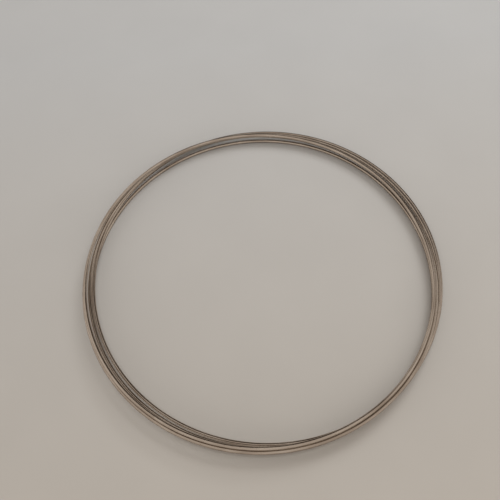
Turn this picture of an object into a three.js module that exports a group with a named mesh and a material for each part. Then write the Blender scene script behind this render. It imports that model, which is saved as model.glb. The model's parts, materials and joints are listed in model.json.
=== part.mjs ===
// Wreath frame: a loose bundle of five plain wire hoops, one lying on another on a flat surface.
//
// Millimetres, +Z up. The origin is on the surface, under the middle of the bundle's bounding box.
// Each hoop is one length of round steel wire, bent to a full circle and welded to itself, so it is
// one rigid piece. Nothing fastens the hoops together: each rests on the ones below it.

import * as THREE from 'three';

// The wire, and the nominal hoop that it is bent into, measured along the middle of the wire.
const WIRE_DIAMETER = 3;
const HOOP_RADIUS = 148.5;

// How finely the round shapes are divided.
const WIRE_SIDES = 12;
const HOOP_STEPS = 96;

const NICKELLED_STEEL = { color: 0xb3a592, roughness: 0.32, metalness: 1 };

// The hoops from the lowest to the topmost. They have slipped sideways on each other and lie aslant.
//   larger: how much the hoop's radius is over the nominal one
//   centre: where the middle of the hoop is
//   rise:   how much higher than its middle the hoop is where it crosses +X, and where it crosses +Y
const HOOPS = [
  { name: 'hoop_1_lowest', larger: -1, centre: [-2.5, -4, WIRE_DIAMETER / 2], rise: [0, 0] },
  { name: 'hoop_2', larger: 1.5, centre: [2.5, 3, 4.2], rise: [-1.6, -2.1] },
  { name: 'hoop_3_middle', larger: 1, centre: [0, -0.5, 7.6], rise: [-1.9, -2.6] },
  { name: 'hoop_4', larger: 0.5, centre: [-3.5, -4, 11], rise: [-2.5, -3.2] },
  { name: 'hoop_5_top', larger: -1.5, centre: [-4, -3.5, 13.7], rise: [-2.9, -2.9] },
];

// The outline of the wire where a plane through the hoop's axis cuts it. It is a polygon with its
// flats as far apart as the wire is thick, and one flat straight down.
function wireOutline(hoopRadius) {
  const cornerRadius = WIRE_DIAMETER / 2 / Math.cos(Math.PI / WIRE_SIDES);
  const corners = [];
  for (let corner = 0; corner < WIRE_SIDES; corner += 1) {
    const angle = (2 * Math.PI * (corner + 0.5)) / WIRE_SIDES;
    const across = cornerRadius * Math.cos(angle);
    const up = cornerRadius * Math.sin(angle);
    corners.push(new THREE.Vector2(hoopRadius + across, up));
  }
  return [...corners, corners[0]];
}

// A hoop that lies flat round the origin. A lathe turns its outline round +Y, so it is tipped over.
function hoopGeometry(hoopRadius) {
  const geometry = new THREE.LatheGeometry(wireOutline(hoopRadius), HOOP_STEPS);
  geometry.rotateX(Math.PI / 2);
  return geometry;
}

// A hoop where it lies in the bundle, with its axis leaning so that its rim has the stated rise.
function hoopMesh({ name, larger, centre, rise }) {
  const hoopRadius = HOOP_RADIUS + larger;
  const material = new THREE.MeshStandardMaterial(NICKELLED_STEEL);
  const mesh = new THREE.Mesh(hoopGeometry(hoopRadius), material);
  const upright = new THREE.Vector3(0, 0, 1);
  const axis = new THREE.Vector3(-rise[0], -rise[1], hoopRadius).normalize();
  mesh.name = name;
  mesh.position.set(...centre);
  mesh.quaternion.setFromUnitVectors(upright, axis);
  return mesh;
}

const wreathFrame = new THREE.Group();
HOOPS.forEach((hoop) => wreathFrame.add(hoopMesh(hoop)));

export default wreathFrame;
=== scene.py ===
"""Wreath frame: five loose hoops of bright steel wire, lying on each other on a pale table.

Every hoop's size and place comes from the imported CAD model, which holds it as a faceted ring.
Each ring is replaced by a finely drawn hoop of round wire with its weld, in metres, +Z up.
"""

import json
import math

import bpy
import numpy as np
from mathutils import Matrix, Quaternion, Vector

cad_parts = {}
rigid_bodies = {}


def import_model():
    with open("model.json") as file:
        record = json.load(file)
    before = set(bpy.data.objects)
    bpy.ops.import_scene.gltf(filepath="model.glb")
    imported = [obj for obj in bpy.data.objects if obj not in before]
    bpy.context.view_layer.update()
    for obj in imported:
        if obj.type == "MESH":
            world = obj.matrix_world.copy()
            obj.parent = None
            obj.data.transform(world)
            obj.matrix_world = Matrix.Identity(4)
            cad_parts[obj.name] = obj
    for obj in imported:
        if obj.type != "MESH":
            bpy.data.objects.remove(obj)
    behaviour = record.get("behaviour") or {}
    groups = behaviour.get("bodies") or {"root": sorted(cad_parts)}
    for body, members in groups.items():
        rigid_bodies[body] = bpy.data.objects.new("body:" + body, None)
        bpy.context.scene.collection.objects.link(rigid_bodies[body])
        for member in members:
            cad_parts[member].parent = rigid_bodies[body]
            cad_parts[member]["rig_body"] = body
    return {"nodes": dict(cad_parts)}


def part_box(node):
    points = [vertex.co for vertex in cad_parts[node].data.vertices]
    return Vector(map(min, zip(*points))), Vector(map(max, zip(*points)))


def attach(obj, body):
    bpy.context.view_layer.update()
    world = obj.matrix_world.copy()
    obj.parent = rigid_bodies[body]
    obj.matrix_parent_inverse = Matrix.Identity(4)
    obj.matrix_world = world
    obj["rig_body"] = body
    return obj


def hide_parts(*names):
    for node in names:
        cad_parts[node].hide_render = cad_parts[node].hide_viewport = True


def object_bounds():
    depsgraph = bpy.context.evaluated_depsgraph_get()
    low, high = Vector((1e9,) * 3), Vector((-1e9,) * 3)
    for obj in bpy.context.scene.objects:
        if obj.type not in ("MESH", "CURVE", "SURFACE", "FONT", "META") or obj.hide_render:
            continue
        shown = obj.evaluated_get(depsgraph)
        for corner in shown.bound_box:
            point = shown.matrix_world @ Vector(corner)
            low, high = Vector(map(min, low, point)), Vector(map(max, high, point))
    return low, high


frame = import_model()
cad_low, cad_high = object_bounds()

MM = 0.001
BUNDLE_WIDTH = cad_high.x - cad_low.x

# How finely a hoop is drawn.
WIRE_SIDES = 28
HOOP_STEPS = 540
WELD_STEPS = 30

# Where each hoop's weld is, in degrees round from +X towards +Y.
WELD_AT = {
    "hoop_1_lowest": 30,
    "hoop_2": 118,
    "hoop_3_middle": 262,
    "hoop_4": 20,
    "hoop_5_top": 236,
}

# The weld is a low uneven collar over the top of the wire, ground flush underneath.
WELD_HALF_LENGTH = 1.1 * MM
WELD_HEIGHT = 0.10 * MM
WELD_LOBES = 3
WELD_UNEVENNESS = 0.3
WELD_SAMPLED_LENGTH = 4 * WELD_HALF_LENGTH

# How far the wire's thickness strays from true, and how many waves round the hoop the stray has.
WAVINESS = 0.012 * MM
STRAY_WAVES = (7, 17, 43)

# The wire's colours: where it is bright, where its plating is dull, and in the stained specks.
WIRE_BRIGHT = (0.56, 0.48, 0.405)
WIRE_DULL = (0.38, 0.31, 0.25)
WIRE_STAINED = (0.14, 0.085, 0.05)

# The noises in the wire's finish, with their grains per metre along and round the wire. Each span is
# the noise's values over which its effect comes in. Every hoop's noise is a step away from the last.
LINE_NOISE = {"grains": (35, 4200), "detail": 3}
PATCH_NOISE = {"grains": (32, 160), "detail": 4}
SPECK_NOISE = {"grains": (900, 900), "detail": 2}
LINE_SPAN = (0.35, 0.65)
PATCH_SPAN = (0.34, 0.62)
STAIN_SPAN = (0.66, 0.74)
NOISE_SPAN = (0.3, 0.7)
NOISE_STEP = (3.7, 1.3, 1)

# The depth of the wire's drawn lines, in shade and in relief, and its gloss.
LINE_SHADE = 0.35
LINE_BUMP_STRENGTH = 0.25
LINE_BUMP_DEPTH = 0.02 * MM
SMOOTHEST = 0.15
ROUGHEST = 0.30
ANISOTROPY = 0.55
QUARTER_TURN = 0.25

# The camera: its lens and sensor in millimetres, its aim and distance in bundle widths, and the
# distance in metres within which it shows nothing.
CAMERA_LENS = 38.6
CAMERA_SENSOR = 36
CAMERA_AIM = Vector((-0.0324, 0.0686, 0))
CAMERA_DISTANCE = 1.5622
CAMERA_ELEVATION = math.radians(61.7)
CAMERA_ROLL = math.radians(-4.43)
CAMERA_NEAREST = 0.01

# The window: a square soft lamp, with its place and size in bundle widths and its power in watts.
WINDOW_PLACE = (1.9, 2.8, 4.2)
WINDOW_SIZE = 2.8
WINDOW_POWER = 11.3
WINDOW_COLOUR = (0.95, 0.98, 1.0)

# The room, as the wire reflects it. It is shaded round one direction, within about these cosines.
SHADED_SIDE = (0.34, 0.86, 0.38)
SHADE_STARTS = 0.70
SHADE_IS_FULL = 0.87
PALE_ROOM = (0.77, 0.735, 0.70)
SHADED_ROOM = (0.035, 0.024, 0.016)

# The table top, from its near side to its far side, with the places in bundle widths. Its colours
# carry painted light: the shift from warmer near to cooler far stands in for the tint of the room's
# light.
TABLE_HALF_WIDTH = 40
TABLE_NEAR = -0.7
TABLE_FAR = 0.9
TABLE_NEAR_COLOUR_AND_PAINTED_LIGHT = (0.500, 0.458, 0.408)
TABLE_FAR_COLOUR_AND_PAINTED_LIGHT = (0.485, 0.480, 0.472)
TABLE_ROUGHNESS = 0.55
TABLE_SHINE = 0.3
MOTTLE_GRAINS = 14
MOTTLE_DETAIL = 5
MOTTLE = 0.015


# ---------------------------------------------------------------- the hoops


def measured_hoop(node):
    """A CAD ring's middle, its axis, and the radii of the hoop and of its wire, from its mesh."""
    low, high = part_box(node)
    middle = np.array((low + high) / 2)
    corners = np.array([v.co for v in frame["nodes"][node].data.vertices]) - middle
    axis = np.linalg.svd(corners, full_matrices=False)[2][2]
    axis *= np.sign(axis[2])
    height = corners @ axis
    reach = np.linalg.norm(corners - np.outer(height, axis), axis=1)
    return middle, axis, (reach.max() + reach.min()) / 2, height.max()


def section_angles(weld_angle, hoop_radius):
    """The angles round a hoop where its wire is drawn, from one weld to the same weld again."""
    near_weld = WELD_SAMPLED_LENGTH / hoop_radius
    across_weld = np.linspace(-near_weld, near_weld, WELD_STEPS, endpoint=False)
    rest = np.linspace(near_weld, 2 * math.pi - near_weld, HOOP_STEPS, endpoint=False)
    return weld_angle + np.concatenate([across_weld, rest])


def wire_radii(angles, weld_angle, around, hoop_radius, wire_radius, rng):
    """The wire's radius at each step along the hoop and each step round its section."""
    turned = np.angle(np.exp(1j * (angles - weld_angle)))
    from_weld = turned * hoop_radius
    collar = np.exp(-((from_weld / WELD_HALF_LENGTH) ** 2) * 2)[:, None]
    upper = (1 + np.sin(around)) / 2
    turn = rng.uniform(0, 2 * math.pi)
    lobes = upper * (1 + WELD_UNEVENNESS * np.cos(WELD_LOBES * around - turn))
    stray = np.zeros((len(angles), len(around)))
    for waves in STRAY_WAVES:
        start = rng.uniform(0, 2 * math.pi, 2)
        wave = np.outer(np.cos(waves * angles + start[0]), np.cos(2 * around + start[1]))
        stray += wave / len(STRAY_WAVES)
    return wire_radius + WAVINESS * (stray - 1) + WELD_HEIGHT * collar * lobes[None, :]


def wire_mesh(name, points, along, around):
    """A closed tube through points[step, side], with the distances along and round it as its UVs."""
    steps, sides = points.shape[:2]
    faces = []
    distances = []
    for step in range(steps):
        for side in range(sides):
            following = (step + 1) % steps
            beside = (side + 1) % sides
            here = step * sides
            onward = following * sides
            faces.append((here + side, onward + side, onward + beside, here + beside))
            distances += [
                (along[step], around[side]),
                (along[step + 1], around[side]),
                (along[step + 1], around[side + 1]),
                (along[step], around[side + 1]),
            ]
    mesh = bpy.data.meshes.new(name)
    mesh.from_pydata(points.reshape(-1, 3).tolist(), [], faces)
    uv = mesh.uv_layers.new(name="wire")
    uv.data.foreach_set("uv", np.array(distances, np.float32).ravel())
    mesh.shade_smooth()
    mesh.validate()
    return mesh


def wire_hoop(node, material, seed):
    """The finely drawn hoop that stands for a CAD ring, riding on the ring's body."""
    rng = np.random.default_rng(seed)
    middle, axis, hoop_radius, wire_radius = measured_hoop(node)
    east = np.array((1, 0, 0)) - axis[0] * axis
    east /= np.linalg.norm(east)
    north = np.cross(axis, east)

    weld_angle = math.radians(WELD_AT[node])
    angles = section_angles(weld_angle, hoop_radius)
    around = np.linspace(0, 2 * math.pi, WIRE_SIDES, endpoint=False) - math.pi / 2
    radii = wire_radii(angles, weld_angle, around, hoop_radius, wire_radius, rng)

    outward = np.cos(angles)[:, None] * east + np.sin(angles)[:, None] * north
    spine = middle + hoop_radius * outward
    across = np.cos(around)[None, :, None] * outward[:, None, :]
    points = spine[:, None, :] + radii[:, :, None] * (across + np.sin(around)[None, :, None] * axis)

    along = np.append(angles, angles[0] + 2 * math.pi) * hoop_radius
    girth = np.linspace(0, 2 * math.pi, WIRE_SIDES + 1) * wire_radius
    from_weld = along - weld_angle * hoop_radius
    mesh = wire_mesh("wire_" + node, points, from_weld, girth)
    piece = bpy.data.objects.new("wire_" + node, mesh)
    bpy.context.scene.collection.objects.link(piece)
    piece.data.materials.append(material)
    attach(piece, frame["nodes"][node]["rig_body"])
    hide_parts(node)


# ---------------------------------------------------------------- materials


def new_material(name):
    """An empty node material, with its node tree and its surface shader."""
    material = bpy.data.materials.new(name)
    material.use_nodes = True
    tree = material.node_tree
    return material, tree, tree.nodes["Principled BSDF"]


def add_node(tree, kind, **settings):
    """A new shader node of a kind, with its settings."""
    node = tree.nodes.new("ShaderNode" + kind)
    for name, value in settings.items():
        setattr(node, name, value)
    return node


def spread(tree, source, span, new_low=0, new_high=1):
    """The source's values over a span, spread from new_low to new_high and kept within them."""
    node = add_node(tree, "MapRange")
    node.inputs["From Min"].default_value = span[0]
    node.inputs["From Max"].default_value = span[1]
    node.inputs["To Min"].default_value = new_low
    node.inputs["To Max"].default_value = new_high
    tree.links.new(source, node.inputs["Value"])
    return node.outputs["Result"]


def wire_noise(tree, seed, grains, detail):
    """Noise over the wire's surface, with its grains per metre along and round the wire."""
    uv = add_node(tree, "UVMap", uv_map="wire")
    place = add_node(tree, "Mapping")
    place.inputs["Location"].default_value = [seed * step for step in NOISE_STEP]
    place.inputs["Scale"].default_value = (*grains, 1)
    noise = add_node(tree, "TexNoise")
    noise.inputs["Scale"].default_value = 1
    noise.inputs["Detail"].default_value = detail
    tree.links.new(uv.outputs["UV"], place.inputs["Vector"])
    tree.links.new(place.outputs["Vector"], noise.inputs["Vector"])
    return noise.outputs["Fac"]


def wire_colour(tree, lines, patches, specks):
    """Bright and dull patches, darkened along the drawn lines, with a few stained specks."""
    patched = add_node(tree, "ValToRGB")
    dull, bright = patched.color_ramp.elements
    dull.position = PATCH_SPAN[0]
    dull.color = (*WIRE_DULL, 1)
    bright.position = PATCH_SPAN[1]
    bright.color = (*WIRE_BRIGHT, 1)
    tree.links.new(patches, patched.inputs["Fac"])

    lined = add_node(tree, "Mix", data_type="RGBA", blend_type="MULTIPLY")
    lined.inputs["B"].default_value = (*WIRE_DULL, 1)
    tree.links.new(spread(tree, lines, LINE_SPAN, LINE_SHADE, 0), lined.inputs["Factor"])
    tree.links.new(patched.outputs["Color"], lined.inputs["A"])

    marked = add_node(tree, "Mix", data_type="RGBA")
    marked.inputs["B"].default_value = (*WIRE_STAINED, 1)
    tree.links.new(spread(tree, specks, STAIN_SPAN), marked.inputs["Factor"])
    tree.links.new(lined.outputs["Result"], marked.inputs["A"])
    return marked.outputs["Result"]


def wire_metal(name, seed):
    """Bright drawn wire with thin nickel on it: fine lines along it, soft patches and a few marks."""
    material, tree, surface = new_material(name)
    surface.inputs["Metallic"].default_value = 1
    surface.inputs["Anisotropic"].default_value = ANISOTROPY
    surface.inputs["Anisotropic Rotation"].default_value = QUARTER_TURN

    lines = wire_noise(tree, seed, **LINE_NOISE)
    patches = wire_noise(tree, seed, **PATCH_NOISE)
    specks = wire_noise(tree, seed, **SPECK_NOISE)
    tree.links.new(wire_colour(tree, lines, patches, specks), surface.inputs["Base Color"])
    roughness = spread(tree, patches, NOISE_SPAN, SMOOTHEST, ROUGHEST)
    tree.links.new(roughness, surface.inputs["Roughness"])

    bump = add_node(tree, "Bump")
    bump.inputs["Strength"].default_value = LINE_BUMP_STRENGTH
    bump.inputs["Distance"].default_value = LINE_BUMP_DEPTH
    tree.links.new(lines, bump.inputs["Height"])
    tree.links.new(bump.outputs["Normal"], surface.inputs["Normal"])

    tangent = add_node(tree, "Tangent", direction_type="UV_MAP", uv_map="wire")
    tree.links.new(tangent.outputs["Tangent"], surface.inputs["Tangent"])
    return material


def table_paint():
    """Smooth pale grey table top with the faintest mottling, and painted light: warmer towards the
    near side, cooler towards the far side.
    """
    material, tree, surface = new_material("pale_table")
    surface.inputs["Roughness"].default_value = TABLE_ROUGHNESS
    surface.inputs["Specular IOR Level"].default_value = TABLE_SHINE
    place = add_node(tree, "TexCoord")

    split = add_node(tree, "SeparateXYZ")
    tree.links.new(place.outputs["Object"], split.inputs["Vector"])
    near_to_far = (TABLE_NEAR * BUNDLE_WIDTH, TABLE_FAR * BUNDLE_WIDTH)
    # Painted light: the table's colour shifts from warm near to cool far, standing in for the tint of
    # the room's light.
    shade = add_node(tree, "Mix", data_type="RGBA")
    shade.inputs["A"].default_value = (*TABLE_NEAR_COLOUR_AND_PAINTED_LIGHT, 1)
    shade.inputs["B"].default_value = (*TABLE_FAR_COLOUR_AND_PAINTED_LIGHT, 1)
    tree.links.new(spread(tree, split.outputs["Y"], near_to_far), shade.inputs["Factor"])

    grain = add_node(tree, "TexNoise")
    grain.inputs["Scale"].default_value = MOTTLE_GRAINS
    grain.inputs["Detail"].default_value = MOTTLE_DETAIL
    tree.links.new(place.outputs["Object"], grain.inputs["Vector"])
    mottle = spread(tree, grain.outputs["Fac"], NOISE_SPAN, 1 - MOTTLE, 1 + MOTTLE)

    colour = add_node(tree, "VectorMath", operation="SCALE")
    tree.links.new(shade.outputs["Result"], colour.inputs["Vector"])
    tree.links.new(mottle, colour.inputs["Scale"])
    tree.links.new(colour.outputs["Vector"], surface.inputs["Base Color"])
    return material


# ---------------------------------------------------------------- table, light and camera


def make_table():
    """A wide table top under the bundle."""
    half = TABLE_HALF_WIDTH * BUNDLE_WIDTH
    mesh = bpy.data.meshes.new("table_top")
    corners = [(-half, -half, 0), (half, -half, 0), (half, half, 0), (-half, half, 0)]
    mesh.from_pydata(corners, [], [(0, 1, 2, 3)])
    mesh.materials.append(table_paint())
    table = bpy.data.objects.new("table_top", mesh)
    bpy.context.scene.collection.objects.link(table)


def make_window():
    """A square soft lamp that faces the middle of the bundle, and that the wire doesn't reflect."""
    light = bpy.data.lights.new("window", "AREA")
    light.shape = "SQUARE"
    light.size = WINDOW_SIZE * BUNDLE_WIDTH
    light.energy = WINDOW_POWER
    light.color = WINDOW_COLOUR
    lamp = bpy.data.objects.new("window", light)
    lamp.location = Vector(WINDOW_PLACE) * BUNDLE_WIDTH
    lamp.rotation_mode = "QUATERNION"
    lamp.rotation_quaternion = (-lamp.location).to_track_quat("-Z", "Y")
    lamp.visible_glossy = False
    bpy.context.scene.collection.objects.link(lamp)


def make_room_light():
    """Light from the pale room, shaded towards the back. The camera sees it without the shade."""
    world = bpy.data.worlds.new("room")
    world.use_nodes = True
    tree = world.node_tree
    direction = add_node(tree, "TexCoord")
    facing = add_node(tree, "VectorMath", operation="DOT_PRODUCT")
    facing.inputs[1].default_value = Vector(SHADED_SIDE).normalized()
    tree.links.new(direction.outputs["Generated"], facing.inputs[0])

    ray = add_node(tree, "LightPath")
    unseen = add_node(tree, "Math", operation="SUBTRACT")
    unseen.inputs[0].default_value = 1
    tree.links.new(ray.outputs["Is Camera Ray"], unseen.inputs[1])

    shade = add_node(tree, "MapRange", interpolation_type="SMOOTHSTEP")
    shade.inputs["From Min"].default_value = SHADE_STARTS
    shade.inputs["From Max"].default_value = SHADE_IS_FULL
    tree.links.new(facing.outputs["Value"], shade.inputs["Value"])
    tree.links.new(unseen.outputs["Value"], shade.inputs["To Max"])

    tone = add_node(tree, "Mix", data_type="RGBA")
    tone.inputs["A"].default_value = (*PALE_ROOM, 1)
    tone.inputs["B"].default_value = (*SHADED_ROOM, 1)
    tree.links.new(shade.outputs["Result"], tone.inputs["Factor"])
    tree.links.new(tone.outputs["Result"], tree.nodes["Background"].inputs["Color"])
    bpy.context.scene.world = world


def make_camera():
    """The camera, looking down at the table over the near side of the bundle."""
    lens = bpy.data.cameras.new("camera")
    lens.lens = CAMERA_LENS
    lens.sensor_width = CAMERA_SENSOR
    lens.clip_start = CAMERA_NEAREST
    camera = bpy.data.objects.new("camera", lens)
    back = Vector((0, -math.cos(CAMERA_ELEVATION), math.sin(CAMERA_ELEVATION)))
    camera.location = (CAMERA_AIM + back * CAMERA_DISTANCE) * BUNDLE_WIDTH
    camera.rotation_mode = "QUATERNION"
    level = (-back).to_track_quat("-Z", "Y")
    camera.rotation_quaternion = level @ Quaternion((0, 0, 1), CAMERA_ROLL)
    bpy.context.scene.collection.objects.link(camera)
    bpy.context.scene.camera = camera


for number, hoop_node in enumerate(sorted(frame["nodes"])):
    wire_hoop(hoop_node, wire_metal("wire_" + hoop_node, number), number)

make_table()
make_window()
make_room_light()
make_camera()
bpy.context.scene.view_settings.view_transform = "Standard"
